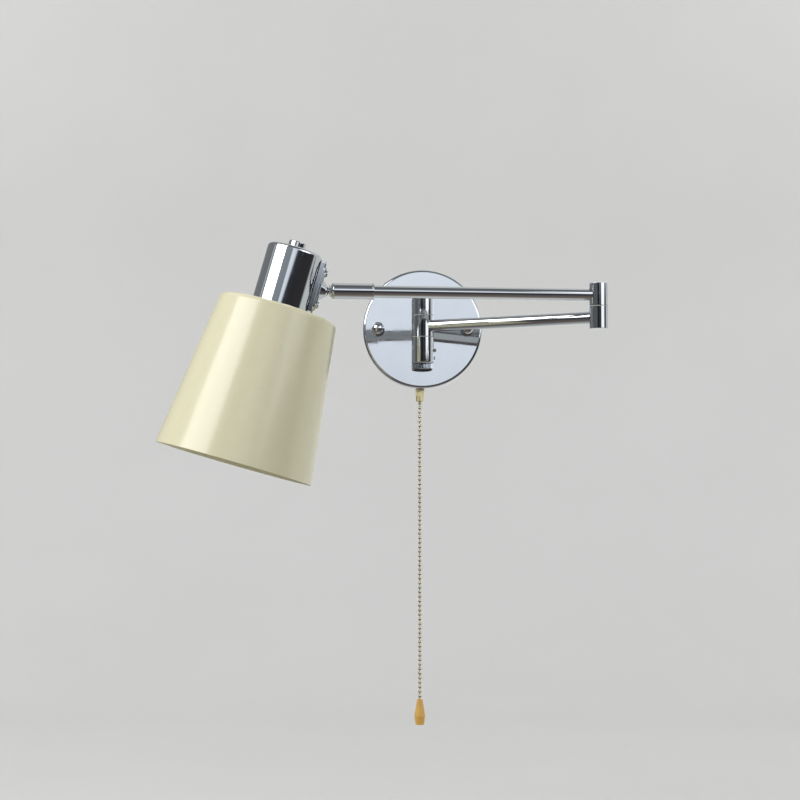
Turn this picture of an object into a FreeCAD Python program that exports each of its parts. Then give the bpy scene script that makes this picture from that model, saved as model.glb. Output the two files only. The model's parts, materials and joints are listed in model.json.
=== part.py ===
import FreeCAD, Part
import Sketcher
import math
import os
import re

# Swing-arm wall lamp: a round canopy on a slotted bar, a vertical post, two tube arms joined by
# an elbow, a ball joint, and a bell-shaped lampholder cover over a conical shade. A bead-chain
# switch hangs below the canopy. Origin: centre of the canopy on the wall. +Z is up, -Y is out
# of the wall, +X is to the right of someone who faces the wall.

doc = FreeCAD.newDocument("swing_arm_wall_lamp")
sheet = doc.addObject("Spreadsheet::Sheet", "sizes")

SIZES = {
    # how the lamp stands at rest, in degrees
    "lower_arm_angle": 30.4,  # lower arm, out from the wall
    "upper_arm_angle": 7.8,  # upper arm, out from the wall, pointing left
    "head_tilt_angle": 16,  # shade axis, its top towards the arm
    # clearances
    "fit_gap": 0.05,  # radial, of every shaft in its hole
    "slide_gap": 0.1,  # between faces that turn past each other
    "cut_overlap": 0.5,  # of a cutting tool past a face, and of joined solids
    # canopy and what fixes it
    "canopy_diameter": 110,
    "canopy_depth": 28,
    "canopy_wall": 1,
    "canopy_edge": 2.5,
    "nut_spacing": 82,
    "stud_diameter": 4,
    "stud_tail": 1,  # stud beyond the centre of its ball nut
    "ball_nut_diameter": 12,
    "ball_nut_seat": 5,  # centre of the ball in front of the canopy
    "bar_length": 98,
    "bar_width": 20,
    "bar_thickness": 2,
    "bar_hole_diameter": 12,
    "wall_slot_spacing": 56,
    "wall_slot_length": 12,
    "wall_slot_width": 5,
    # post
    "post_reach": 58,  # post axis to wall
    "post_diameter": 19.5,
    "wall_knuckle_height": 19,
    "collar_length": 20.3,
    "post_cap_height": 3.2,
    "cap_edge": 1.2,
    "cap_spigot": 3,
    "stub_offset": 20,  # above and below the arm
    "stub_diameter": 9.6,
    "stub_bore": 6.4,
    "stub_tail": 8,  # length inside the canopy
    "stub_nut_width": 14,
    "stub_nut_height": 3,
    "chamber_diameter": 12.4,  # inside the collars and the elbow
    "swivel_washer_thickness": 0.5,
    "pivot_diameter": 7,
    "pivot_bore": 4.6,
    "pivot_head_diameter": 11,
    "pivot_head_height": 2,
    "pivot_reach": 5,  # length inside the knuckle
    "tube_inset": 0.4,  # end of a tube outside the bore of its knuckle
    "bush_length": 5.2,
    "bush_wall": 2.4,
    "washer_inset": 0.4,  # rim of a swivel washer inside the rim of what it carries
    "set_screw_diameter": 3,
    "set_screw_proud": 2.2,
    "set_screw_drop": 22,  # below the arm
    "set_screw_socket": 1.5,
    # arms
    "tube_diameter": 10.4,
    "tube_wall": 1,
    "lower_arm_length": 173.9,
    "upper_arm_length": 238.8,
    "elbow_diameter": 16,
    "elbow_knuckle_height": 18.6,
    "elbow_floor": 3.6,
    "elbow_cap_height": 0.7,
    "elbow_cap_edge": 0.35,
    "elbow_cap_spigot": 2.4,
    "pivot_tail": 0.4,  # pivot beyond its nut
    "elbow_nut_width": 10.2,
    "elbow_nut_height": 2.2,
    # sleeve and ball
    "sleeve_diameter": 13.5,
    "sleeve_length": 36.1,
    "sleeve_lip": 16.6,  # length that runs on the tube
    "sleeve_bore": 11.9,
    "sleeve_plug_head": 2.6,
    "sleeve_plug_spigot": 8,
    "sleeve_plug_round": 2.4,
    "swivel_collar_length": 3,
    "swivel_collar_gap": 0.1,  # inside the sleeve's bore
    "tube_tail": 1,  # tube beyond the swivel collar
    "sleeve_edge": 0.3,
    "sleeve_rim": 1.3,  # width of the rolled rim at the tube's end
    "sleeve_rim_proud": 0.35,
    "stud_thread": 8.6,  # stud inside the plug
    "ball_diameter": 12,
    "ball_stand_off": 7.8,  # ball centre to sleeve
    "stud_neck_diameter": 5.4,
    "stud_bore": 3.6,
    "stud_nut_width": 8.6,
    "stud_nut_height": 1.7,
    # bracket plates on the lampholder cover
    "ball_offset": 30.4,  # ball centre to shade axis
    "ball_height": 25,  # ball centre above the shade's top
    "base_plate_length": 47.4,
    "base_plate_width": 17,
    "base_plate_thickness": 1.3,
    "base_plate_offset": 27.5,  # its outer face to shade axis
    "plate_height": 26,  # middle of the plates above the shade's top
    "plate_gap": 0.3,
    "clamp_plate_length": 38.4,
    "clamp_plate_width": 15,
    "clamp_plate_thickness": 1.2,
    "clamp_lip": 2.4,  # rim of the boss beyond the ball's centre
    "clamp_rim_diameter": 13.2,
    "clamp_boss_diameter": 19,
    "saddle_width": 14,
    "saddle_length": 42,
    "saddle_hole_diameter": 10.4,
    "clamp_screw_spacing": 27.5,
    "clamp_screw_diameter": 3,
    "clamp_screw_head": 6,
    "clamp_screw_head_height": 2.1,
    "clamp_screw_edge": 0.6,
    "recess_span": 3.2,  # cross recess of the clamp screws
    "recess_width": 0.8,
    "recess_depth": 1.3,
    "clamp_nut_seat": 0.35,  # nut inside the cover's wall
    "clamp_nut_width": 5.5,
    "clamp_nut_height": 2.4,
    # lampholder cover, lampholder and bulb
    "cover_diameter": 47.5,
    "cover_height": 52,
    "cover_wall": 0.8,
    "cover_edge": 3,
    "cover_lead_hole": 7,
    "cover_lead_hole_drop": 1.7,  # below the ball's height
    "cap_screw_head": 15.2,
    "cap_screw_head_height": 6.6,
    "cap_screw_edge": 1,
    "cap_screw_diameter": 10,
    "cap_screw_length": 11,
    "holder_top_gap": 5.4,  # lampholder below the cover's roof
    "holder_neck_diameter": 31,
    "holder_thread_diameter": 39.2,
    "holder_flange_diameter": 43.5,
    "holder_flange_height": 3,
    "holder_drop": 18,  # below the shade's top
    "holder_roof": 5,
    "holder_web_height": 10,
    "holder_web": 3,
    "holder_bore": 29.2,
    "holder_cavity": 25,
    "holder_edge": 2.5,
    "holder_lead_offset": 9.5,
    "shell_diameter": 28.6,
    "shell_wall": 0.8,
    "shell_rise": 4.6,  # above the holder's mouth
    "shell_top_gap": 1.8,  # below the holder's web
    "contact_diameter": 10,
    "contact_thickness": 1.2,
    "bulb_cap_diameter": 26.2,
    "bulb_cap_length": 21,
    "bulb_tip_diameter": 9.4,
    "bulb_tip_height": 2,
    "bulb_neck_diameter": 28,
    "bulb_neck_length": 6,
    "bulb_base_diameter": 54,
    "bulb_base_flare": 70,
    "bulb_diameter": 60,
    "bulb_centre_drop": 70,
    "bulb_wall": 1.2,
    # shade and its ring
    "shade_top_diameter": 100.5,
    "shade_mouth_diameter": 135,
    "shade_height": 135,
    "shade_wall": 0.9,
    "shade_shoulder": 4.5,
    "shade_hole_diameter": 40.4,
    "ring_diameter": 50,
    "ring_height": 8,
    "ring_edge": 1.5,
    # leads
    "lead_diameter": 3.2,
    "core_diameter": 2,
    "lead_bend": 4,
    "lead_split": 6,  # above the lower arm, inside the upper pin
    "elbow_lead_split": 12,  # above the lower arm, inside the elbow's pivot
    "lead_end_gap": 0.1,
    "lead_settle": 16,  # length over which the upper arm's lead comes onto the axis
    "lead_settle_bend": 40,
    "lead_run_gap": 0.5,  # lead beside the lampholder's neck
    "lead_tail": 2,  # lead beyond the end of the upper arm's tube
    "ball_lead_gap": 0.4,  # between the ball and the head's lead
    "head_lead_bend": 3,
    # terminals
    "block_length": 26,
    "block_depth": 12,
    "block_height": 13,
    "block_hole_gap": 0.3,  # around each wire
    "block_screw_diameter": 3,
    "block_screw_spacing": 6.5,
    "block_start": 11,  # right of the canopy's centre
    "block_rise": 18,  # above the canopy's centre
    "block_entry": 4,  # lead inside the block
    "lead_depth": 12,  # lead out from the wall, behind the stubs
    "lead_dip": 10,  # lowest run of that lead above the canopy's centre
    "core_turn": 8,  # where the switch's cores leave the block's side, above the canopy's centre
    "earth_screw_offset": 14,
    "earth_screw_diameter": 7,
    "earth_screw_height": 3,
    "screw_slot_width": 1,
    "screw_slot_depth": 1.4,
    # pull switch
    "switch_offset": 2.4,  # left of the canopy's centre
    "switch_depth": 14,  # out from the wall
    "switch_width": 20,
    "switch_body_depth": 17,
    "switch_height": 22,
    "switch_floor": 2.4,
    "switch_bore": 12,
    "switch_cover_height": 3,
    "switch_travel": 8,
    "nozzle_diameter": 5.8,
    "nozzle_bore": 4,
    "nozzle_mouth_diameter": 7.1,
    "nozzle_mouth_length": 4.7,
    "nozzle_mouth_edge": 0.8,
    "nozzle_nut_width": 8.1,
    "nozzle_nut_height": 6.8,
    "plunger_diameter": 11,
    "plunger_disc": 2.6,
    "plunger_boss": 5.4,
    "plunger_boss_height": 3.7,
    "plunger_gap": 0.2,  # below the switch's cover
    "socket_neck": 0.4,
    "socket_neck_diameter": 1.6,
    "bead_gap": 0.05,
    "switch_core_spacing": 10,
    "switch_core_reach": 1.2,
    "spring_wire": 0.7,
    "spring_diameter": 8.6,
    "spring_turns": 5,
    # chain and knob
    "bead_diameter": 3.2,
    "bead_pitch": 4.16,
    "bead_count": 77,
    "link_diameter": 1.1,
    "knob_diameter": 10.2,
    "knob_length": 23.4,
    "knob_top_diameter": 5,
    "knob_foot_diameter": 5.6,
    "knob_widest": 15.5,  # below its top
    "knob_bore": 3.7,
    "knob_shoulder": 7.9,  # below its top
    "knob_edge": 1.2,
    "chain_stop_diameter": 5.4,
    "chain_stop_height": 3.6,
}

for row, (alias, number) in enumerate(SIZES.items(), 1):
    sheet.set(f"A{row}", alias)
    sheet.set(f"B{row}", str(number))
    sheet.setAlias(f"B{row}", alias)
doc.recompute()


def bound(words):
    """A formula in plain size names, with each name pointed at its cell."""
    return re.sub(r"\b([a-z]+(?:_[a-z]+)+)\b", r"sizes.\1", str(words))


def value(words):
    return float(sheet.evalExpression(bound(words)))


def tie(thing, **formulas):
    for name, words in formulas.items():
        thing.setExpression(name, bound(words))


def at(x="0", y="0", z="0", turn=None, about=(0, 0, 1)):
    """A place as a formula: a shift, then a turn about one axis."""
    spin = f"rotation(vector({about[0]}; {about[1]}; {about[2]}); {bound(turn or 0)})"
    return f"placement(vector({bound(x)}; {bound(y)}; {bound(z)}); {spin})"


def frame(name, *steps):
    """A named set of axes, from another set of axes or from formulas."""
    axes = doc.addObject("Part::LocalCoordinateSystem", name)
    axes.setExpression("Placement", " * ".join(steps))
    return f"{name}.Placement"


# Axes of each group of pieces. In the arms' axes X runs along the arm away from the wall's end,
# and in the head's axes Z runs up the shade's axis and X points from it to the ball.
canopy_axes = frame("canopy_axes", at(turn="90", about=(1, 0, 0)))
post_axes = frame("post_axes", at(y="-post_reach"))
lower_axes = frame("lower_axes", post_axes, at(turn="-lower_arm_angle"))
elbow_rise = "elbow_knuckle_height + swivel_washer_thickness + slide_gap"
elbow_axes = frame("elbow_axes", lower_axes, at(x="lower_arm_length"))
upper_axes = frame(
    "upper_axes",
    elbow_axes,
    at(z=elbow_rise, turn="180 + lower_arm_angle + upper_arm_angle"),
)
ball_axes = frame("ball_axes", upper_axes, at(x="upper_arm_length"))
head_axes = frame(
    "head_axes",
    ball_axes,
    at(turn="180"),
    at(turn="head_tilt_angle", about=(0, 1, 0)),
    at(x="-ball_offset", z="-ball_height"),
)
switch_axes = frame("switch_axes", at(x="-switch_offset", y="-switch_depth"))
doc.recompute()


def scratch(kind, words):
    return doc.addObject(kind, f"{words}_{len(doc.Objects)}")


def rod(radius, length, place=None):
    piece = scratch("Part::Cylinder", "rod")
    tie(piece, Radius=radius, Height=length)
    piece.setExpression("Placement", place or at())
    return piece


def taper(low, high, length, place=None):
    piece = scratch("Part::Cone", "taper")
    tie(piece, Radius1=low, Radius2=high, Height=length)
    piece.setExpression("Placement", place or at())
    return piece


def ball(radius, place=None):
    piece = scratch("Part::Sphere", "ball")
    tie(piece, Radius=radius)
    piece.setExpression("Placement", place or at())
    return piece


def block(length, width, height, x="0", y="0", z="0"):
    """A box with its middle at x and y, and its lowest face at z."""
    piece = scratch("Part::Box", "block")
    tie(piece, Length=length, Width=width, Height=height)
    piece.setExpression("Placement", at(f"{x} - ({length}) / 2", f"{y} - ({width}) / 2", z))
    return piece


def hexagon(width, height, place=None):
    piece = scratch("Part::Prism", "hexagon")
    piece.Polygon = 6
    tie(piece, Circumradius=f"({width}) / sqrt(3)", Height=height)
    piece.setExpression("Placement", place or at())
    return piece


def fused(*pieces):
    piece = scratch("Part::MultiFuse", "fused")
    piece.Shapes = list(pieces)
    return piece


def without(base, *tools):
    """The base with every tool cut out of it, and a check that each one cuts."""
    for tool in tools:
        cut = scratch("Part::Cut", "cut")
        cut.Base, cut.Tool = base, tool
        doc.recompute()
        if not cut.Shape.Volume < base.Shape.Volume - 1e-6:
            raise ValueError(f"{tool.Name} cuts nothing out of {base.Name}")
        base = cut
    return base


def several(*pieces):
    piece = scratch("Part::Compound", "several")
    piece.Links = list(pieces)
    return piece


def sketch_on(body, role):
    sketch = body.newObject("Sketcher::SketchObject", f"{body.Name}_outline")
    plane = next(o for o in body.Origin.OriginFeatures if o.Role == role)
    sketch.AttachmentSupport = [(plane, "")]
    sketch.MapMode = "FlatFace"
    return sketch


def draw(sketch, points):
    """A closed outline through points given as formulas. A third formula bends the edge that
    leaves the point: an arc of that radius, turning left if it is positive, else right."""
    flat = [FreeCAD.Vector(value(p[0]), value(p[1]), 0) for p in points]
    edges, rules = [], []
    for i, point in enumerate(points):
        a, b = flat[i], flat[(i + 1) % len(flat)]
        if len(point) == 2:
            edges.append((Part.LineSegment(a, b), 1, 2))
            continue
        radius = value(point[2])
        chord = b - a
        left = FreeCAD.Vector(-chord.y, chord.x, 0).normalize()
        depth = math.sqrt(max(radius**2 - (chord.Length / 2) ** 2, 0))
        centre = (a + b) * 0.5 + left * math.copysign(depth, radius)
        angles = [math.atan2(p.y - centre.y, p.x - centre.x) for p in (a, b)]
        circle = Part.Circle(centre, FreeCAD.Vector(0, 0, 1), abs(radius))
        if radius > 0:
            edges.append((Part.ArcOfCircle(circle, angles[0], angles[1]), 1, 2))
        else:
            edges.append((Part.ArcOfCircle(circle, angles[1], angles[0]), 2, 1))
    sketch.addGeometry([edge for edge, _, _ in edges], False)
    for i, point in enumerate(points):
        j = (i + 1) % len(points)
        rules.append(("Coincident", (i, edges[i][2], j, edges[j][1]), None))
        for side, words in (("X", point[0]), ("Y", point[1])):
            if words == "0":
                axis = -2 if side == "X" else -1
                rules.append(("PointOnObject", (i, edges[i][1], axis), None))
            else:
                rules.append((f"Distance{side}", (-1, 1, i, edges[i][1], value(words)), words))
        if len(point) == 3:
            rules.append(("Radius", (i, abs(value(point[2]))), f"abs({point[2]})"))
    sketch.addConstraint([Sketcher.Constraint(kind, *rest) for kind, rest, _ in rules])
    for n, (_, _, words) in enumerate(rules):
        if words:
            sketch.setExpression(f"Constraints[{n}]", bound(words))


def turned(name, points):
    """A piece turned about its own Z axis from an outline of radius and height."""
    body = doc.addObject("PartDesign::Body", name)
    sketch = sketch_on(body, "XZ_Plane")
    draw(sketch, points)
    spin = body.newObject("PartDesign::Revolution", f"{body.Name}_turn")
    spin.Profile, spin.ReferenceAxis, spin.Angle = sketch, (sketch, ["V_Axis"]), 360
    doc.recompute()
    return body


def rounded(body, radius, *rims):
    """Rounds the circular edges of a turned body that lie at each given radius and height."""
    found = []
    for n, edge in enumerate(body.Tip.Shape.Edges, 1):
        if not isinstance(edge.Curve, Part.Circle):
            continue
        for across, height in rims:
            near = abs(edge.Curve.Radius - value(across)) < 1e-4
            if near and abs(edge.Curve.Center.z - value(height)) < 1e-4:
                found.append(f"Edge{n}")
    if len(found) < len(rims):
        raise ValueError(f"{body.Name} lacks an edge to round")
    before = body.Tip
    fillet = body.newObject("PartDesign::Fillet", f"{body.Name}_round")
    fillet.Base = (before, found)
    tie(fillet, Radius=radius)
    doc.recompute()
    return body


def slab(name, points, height):
    """A flat piece: an outline on its own XY plane, raised along Z."""
    body = doc.addObject("PartDesign::Body", name)
    sketch = sketch_on(body, "XY_Plane")
    draw(sketch, points)
    pad = body.newObject("PartDesign::Pad", f"{body.Name}_pad")
    pad.Profile = sketch
    tie(pad, Length=height)
    doc.recompute()
    return body


def stadium(length, width):
    """An outline with straight sides along X and half-round ends."""
    side, end = f"(({length}) - ({width})) / 2", f"({width}) / 2"
    half = f"({length}) / 2"
    return [
        (f"-{side}", f"-{end}"),
        (side, f"-{end}", end),
        (half, "0", end),
        (side, end),
        (f"-{side}", end, end),
        (f"-{half}", "0", end),
    ]


KEPT = []


def keep(label, piece, axes):
    """Names a finished piece, and puts it in its group's axes."""
    piece.Label = label
    piece.setExpression("Placement", axes)
    KEPT.append(piece)
    return piece


def arc_through(start, apex, end):
    """The arc that leaves start towards apex and arrives at end from it."""
    middle = (start + end) * 0.5
    rise = apex - middle
    turn = math.atan2(rise.Length, (end - start).Length / 2)
    top = middle + rise * (math.tan(turn / 2) / math.tan(turn))
    return Part.Arc(start, top, end).toShape()


def routed(points, bends):
    """Straight runs through the points, joined by tangent arcs of the given radii."""
    points = [FreeCAD.Vector(*p) for p in points]
    edges, last = [], points[0]
    for before, here, after, radius in zip(points, points[1:], points[2:], bends):
        come, go = (here - before).normalize(), (after - here).normalize()
        reach = radius * math.tan(come.getAngle(go) / 2)
        start, end = here - come * reach, here + go * reach
        if (start - last).Length > 1e-6:
            edges.append(Part.LineSegment(last, start).toShape())
        edges.append(arc_through(start, here, end))
        last = end
    edges.append(Part.LineSegment(last, points[-1]).toShape())
    return Part.Wire(edges)


def swept(path, diameter):
    """A round section carried along a path, checked against its section times its length."""
    first = path.Edges[0]
    start, heading = first.valueAt(first.FirstParameter), first.tangentAt(first.FirstParameter)
    ring = Part.Wire([Part.Circle(start, heading, diameter / 2).toShape()])
    solid = path.makePipeShell([ring], True, False)
    wanted = math.pi * diameter**2 / 4 * path.Length
    if abs(solid.Volume / wanted - 1) > 0.01:
        raise ValueError("a lead's volume is not its section times its length")
    return solid


def coil(radius, rise, turns, wire):
    """A spring: a helix of joined arcs, two to each quarter turn, with a round wire."""
    steps = int(turns * 4)

    def helix(n):
        turn = math.pi / 2 * n
        slope = rise / (turns * 2 * math.pi)
        point = FreeCAD.Vector(radius * math.cos(turn), radius * math.sin(turn), slope * turn)
        heading = FreeCAD.Vector(-radius * math.sin(turn), radius * math.cos(turn), slope)
        return point, heading.normalize()

    edges = []
    for n in range(steps):
        (a, go), (b, come) = helix(n), helix(n + 1)
        span, both = b - a, go + come
        bend = 2 * (1 - go.dot(come))
        along = span.dot(both)
        reach = (math.sqrt(along**2 + bend * span.dot(span)) - along) / bend
        first, second = a + go * reach, b - come * reach
        joint = (first + second) * 0.5
        edges += [arc_through(a, first, joint), arc_through(joint, second, b)]
    print("spring: gap between turns", round(rise / turns - wire, 2), "mm")
    return swept(Part.Wire(edges), wire)


def shaped(label, shape, axes):
    """A piece whose shape is worked out here, put in its group's axes."""
    piece = doc.addObject("Part::Feature", label)
    piece.Shape = shape
    return keep(label, piece, axes)


# Turns that lay a piece's own Z axis along X or Y, or against it.
ALONG_X = dict(turn="90", about=(0, 1, 0))
AGAINST_X = dict(turn="-90", about=(0, 1, 0))
ALONG_Y = dict(turn="-90", about=(1, 0, 0))
AGAINST_Y = dict(turn="90", about=(1, 0, 0))
UPSIDE_DOWN = at(turn="180", about=(0, 1, 0))
SIDES = ("", "-")  # the sign of a piece and of its twin


def ring(outer, inner, height, place=None):
    """A flat or tall ring, from its outer and inner radius."""
    return without(rod(outer, height, place), rod(inner, height, place))


def nut(width, hole, height, place=None):
    return without(hexagon(width, height, place), rod(hole, height, place))


STUD_REACH = "canopy_depth + ball_nut_seat + stud_tail"


def canopy():
    """The canopy, a drawn cup that is open to the wall, with its ball nuts."""
    half, wall, depth = "canopy_diameter / 2", "canopy_wall", "canopy_depth"
    shell = turned(
        "canopy_turned",
        [
            (half, "0"),
            (half, depth),
            ("0", depth),
            ("0", f"{depth} - {wall}"),
            (f"{half} - {wall}", f"{depth} - {wall}"),
            (f"{half} - {wall}", "0"),
        ],
    )
    rounded(shell, "canopy_edge", (half, depth))
    rounded(shell, f"canopy_edge - {wall}", (f"{half} - {wall}", f"{depth} - {wall}"))
    holes = []
    for sign in SIDES:
        through = f"{depth} + cut_overlap * 2"
        holes.append(rod("stud_diameter / 2 + fit_gap", through, at(f"{sign}nut_spacing / 2")))
        holes.append(rod("stub_diameter / 2 + fit_gap", through, at(y=f"{sign}stub_offset")))
    spout = at("-switch_offset", z="switch_depth", **AGAINST_Y)
    holes.append(rod("nozzle_diameter / 2 + fit_gap", f"{half} + cut_overlap * 2", spout))
    keep("canopy_shell", without(shell, *holes), canopy_axes)

    nuts = []
    for sign in SIDES:
        x = f"{sign}nut_spacing / 2"
        sphere = ball("ball_nut_diameter / 2", at(x, z=f"{depth} + ball_nut_seat"))
        low = f"{depth} - ball_nut_diameter"
        behind = rod("ball_nut_diameter", "ball_nut_diameter", at(x, z=low))
        hole = rod("stud_diameter / 2 + fit_gap", f"{STUD_REACH} + cut_overlap * 2", at(x))
        nuts.append(without(sphere, behind, hole))
    keep("ball_nuts", several(*nuts), canopy_axes)


def wall_bar():
    """The slotted bar that is screwed to the wall, its studs and its earth screw."""
    bar = slab("bar_blank", stadium("bar_length", "bar_width"), "bar_thickness")
    earth = "earth_screw_diameter / 4"
    cuts = [
        rod("bar_hole_diameter / 2", "bar_thickness"),
        rod(f"{earth} + fit_gap", "bar_thickness", at("-earth_screw_offset")),
    ]
    for sign in SIDES:
        slot = slab("slot_tool", stadium("wall_slot_length", "wall_slot_width"), "bar_thickness")
        slot.setExpression("Placement", at(f"{sign}wall_slot_spacing / 2"))
        cuts.append(slot)
        cuts.append(rod("stud_diameter / 2 + fit_gap", "bar_thickness", at(f"{sign}nut_spacing / 2")))
    keep("mounting_crossbar", without(bar, *cuts), canopy_axes)

    studs = [rod("stud_diameter / 2", STUD_REACH, at(f"{sign}nut_spacing / 2")) for sign in SIDES]
    keep("canopy_studs", several(*studs), canopy_axes)

    screw = turned(
        "earth_screw_turned",
        [
            ("0", "0"),
            (earth, "0"),
            (earth, "bar_thickness"),
            ("earth_screw_diameter / 2", "bar_thickness"),
            ("earth_screw_diameter / 2", "bar_thickness + earth_screw_height"),
            ("0", "bar_thickness + earth_screw_height"),
        ],
    )
    low = "bar_thickness + earth_screw_height - screw_slot_depth"
    screw = without(screw, block("earth_screw_diameter", "screw_slot_width", "screw_slot_depth", z=low))
    keep("earth_screw", screw, f"{canopy_axes} * {at('-earth_screw_offset')}")


POST_SEAT = "wall_knuckle_height / 2 + slide_gap + swivel_washer_thickness"
POST_TOP = f"{POST_SEAT} + collar_length"
POST_FLOOR = "stub_offset - stub_diameter / 2"


def collar(label, upside_down):
    """One fixed half of the post: a tube with a floor for the pin, and a side hole for its stub."""
    pieces = [
        rod("pivot_diameter / 2 + fit_gap", "collar_length", at(z=POST_SEAT)),
        rod("chamber_diameter / 2", f"{POST_TOP} - ({POST_FLOOR}) + cut_overlap", at(z=POST_FLOOR)),
        rod("stub_diameter / 2 + fit_gap", "post_diameter", at(z="stub_offset", **ALONG_Y)),
    ]
    if upside_down:
        side = at(z="set_screw_drop", **AGAINST_X)
        pieces.append(rod("set_screw_diameter / 2 + fit_gap", "post_diameter", side))
    tube = without(rod("post_diameter / 2", "collar_length", at(z=POST_SEAT)), *pieces)
    keep(label, tube, f"{post_axes} * {UPSIDE_DOWN}" if upside_down else post_axes)


def post():
    """The post: two collars on stubs out of the canopy, with the knuckle's pins and washers."""
    half, chamber = "post_diameter / 2", "chamber_diameter / 2"
    collar("post_upper_collar", False)
    collar("post_lower_collar", True)
    stubs, nuts, caps, pins, washers = [], [], [], [], []
    for sign in SIDES:
        stub_start = f"{chamber} + fit_gap"
        length = f"post_reach - canopy_depth + stub_tail - ({stub_start})"
        place = at(y=stub_start, z=f"{sign}stub_offset", **ALONG_Y)
        stubs.append(ring("stub_diameter / 2", "stub_bore / 2", length, place))
        inside = at(y="post_reach - canopy_depth + canopy_wall", z=f"{sign}stub_offset", **ALONG_Y)
        nuts.append(nut("stub_nut_width", "stub_diameter / 2 + fit_gap", "stub_nut_height", inside))
        cap = turned(
            "cap_turned",
            [
                ("0", f"{POST_TOP} - cap_spigot"),
                (f"{chamber} - fit_gap", f"{POST_TOP} - cap_spigot"),
                (f"{chamber} - fit_gap", POST_TOP),
                (half, POST_TOP),
                (half, f"{POST_TOP} + post_cap_height"),
                ("0", f"{POST_TOP} + post_cap_height"),
            ],
        )
        caps.append(rounded(cap, "cap_edge", (half, f"{POST_TOP} + post_cap_height")))
        pins.append(
            turned(
                "pin_turned",
                [
                    ("pivot_bore / 2", "wall_knuckle_height / 2 - pivot_reach"),
                    ("pivot_diameter / 2", "wall_knuckle_height / 2 - pivot_reach"),
                    ("pivot_diameter / 2", POST_FLOOR),
                    ("pivot_head_diameter / 2", POST_FLOOR),
                    ("pivot_head_diameter / 2", f"{POST_FLOOR} + pivot_head_height"),
                    ("pivot_bore / 2", f"{POST_FLOOR} + pivot_head_height"),
                ],
            )
        )
        place = at(z=f"{POST_SEAT} - swivel_washer_thickness")
        hole = "pivot_diameter / 2 + fit_gap"
        washers.append(ring(f"{half} - washer_inset", hole, "swivel_washer_thickness", place))
    for pair in (caps, pins, washers):
        pair[1].setExpression("Placement", UPSIDE_DOWN)
    keep("post_stubs", several(*stubs), post_axes)
    keep("stub_nuts", several(*nuts), post_axes)
    keep("post_end_caps", several(*caps), post_axes)
    keep("swivel_pins", several(*pins), post_axes)
    keep("swivel_washers", several(*washers), post_axes)
    reach = f"{half} - ({chamber}) + set_screw_proud"
    socket = hexagon("set_screw_socket", "set_screw_proud", at(z=f"{reach} - set_screw_proud"))
    screw = without(rod("set_screw_diameter / 2", reach), socket)
    keep("collar_set_screw", screw, f"{post_axes} * {at(chamber, z='-set_screw_drop', **ALONG_X)}")


# Underside of the switch below the canopy's centre, where its corners meet the canopy's wall.
SWITCH_CORNER = "(canopy_diameter / 2 - canopy_wall)^2 - (switch_offset + switch_width / 2)^2"
SWITCH_SEAT = f"sqrt({SWITCH_CORNER}) - slide_gap"


def terminals():
    """The terminal block inside the canopy's front, its screws, and the leads that leave it."""
    middle = "block_start + block_length / 2"
    front = "canopy_depth - canopy_wall - block_depth"
    height = "block_rise + block_height / 2"
    body = block("block_length", "block_height", "block_depth", middle, height, front)
    depth = f"{front} + block_depth / 2"
    poles = [f"{middle} + {n} * block_length / 3" for n in (-1, 0, 1)]
    wires = ["lead_diameter / 2", "core_diameter / 2", "core_diameter / 2"]
    holes, screws = [], []
    for pole, wire in zip(poles, wires):
        place = at(pole, "block_rise", depth, **ALONG_Y)
        holes.append(rod(f"{wire} + block_hole_gap", "block_height", place))
        for sign in "+-":
            spot = at(pole, f"{height} {sign} block_screw_spacing / 2", front)
            reach = f"block_depth / 2 - ({wire}) - block_hole_gap"
            holes.append(rod("block_screw_diameter / 2 + fit_gap", "block_depth / 2", spot))
            screws.append(rod("block_screw_diameter / 2", reach, spot))
    keep("terminal_block", without(body, *holes), canopy_axes)
    keep("terminal_screws", several(*screws), canopy_axes)

    # In the canopy's axes: X to the right, Y up, Z out of the wall.
    x = [value(pole) for pole in poles]
    inside, z, bend = value("block_rise + block_entry"), value(depth), value("lead_bend")
    stub, out = value("stub_offset"), value("lead_depth")
    below = value("lead_dip")
    reach = value("post_reach")
    supply = routed(
        [
            (x[0], inside, z),
            (x[0], below, z),
            (0, below, out),
            (0, stub, out),
            (0, stub, reach),
            (0, value("lead_split + lead_end_gap"), reach),
        ],
        [bend] * 4,
    )
    left, right = [value(f"-switch_offset {sign} switch_core_spacing / 2") for sign in "-+"]
    top = value(f"{SWITCH_SEAT} - switch_height - switch_cover_height")
    end, deep, turn = -value("switch_core_reach") - top, value("switch_depth"), value("core_turn")
    leads = [swept(supply, value("lead_diameter"))]
    for start, finish in ((x[1], left), (x[2], right)):
        route = [(start, inside, z), (start, turn, z), (finish, -2 * turn, deep), (finish, end, deep)]
        leads.append(swept(routed(route, [bend] * 2), value("core_diameter")))
    shaped("canopy_leads", Part.makeCompound(leads), canopy_axes)


SWITCH_TOP = f"switch_height - ({SWITCH_SEAT})"
PLUNGER_TOP = f"{SWITCH_TOP} - plunger_gap"
DISC_LOW = f"{PLUNGER_TOP} - plunger_disc"
BEAD_TOP = f"{DISC_LOW} - bead_diameter / 2 - bead_gap"


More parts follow.
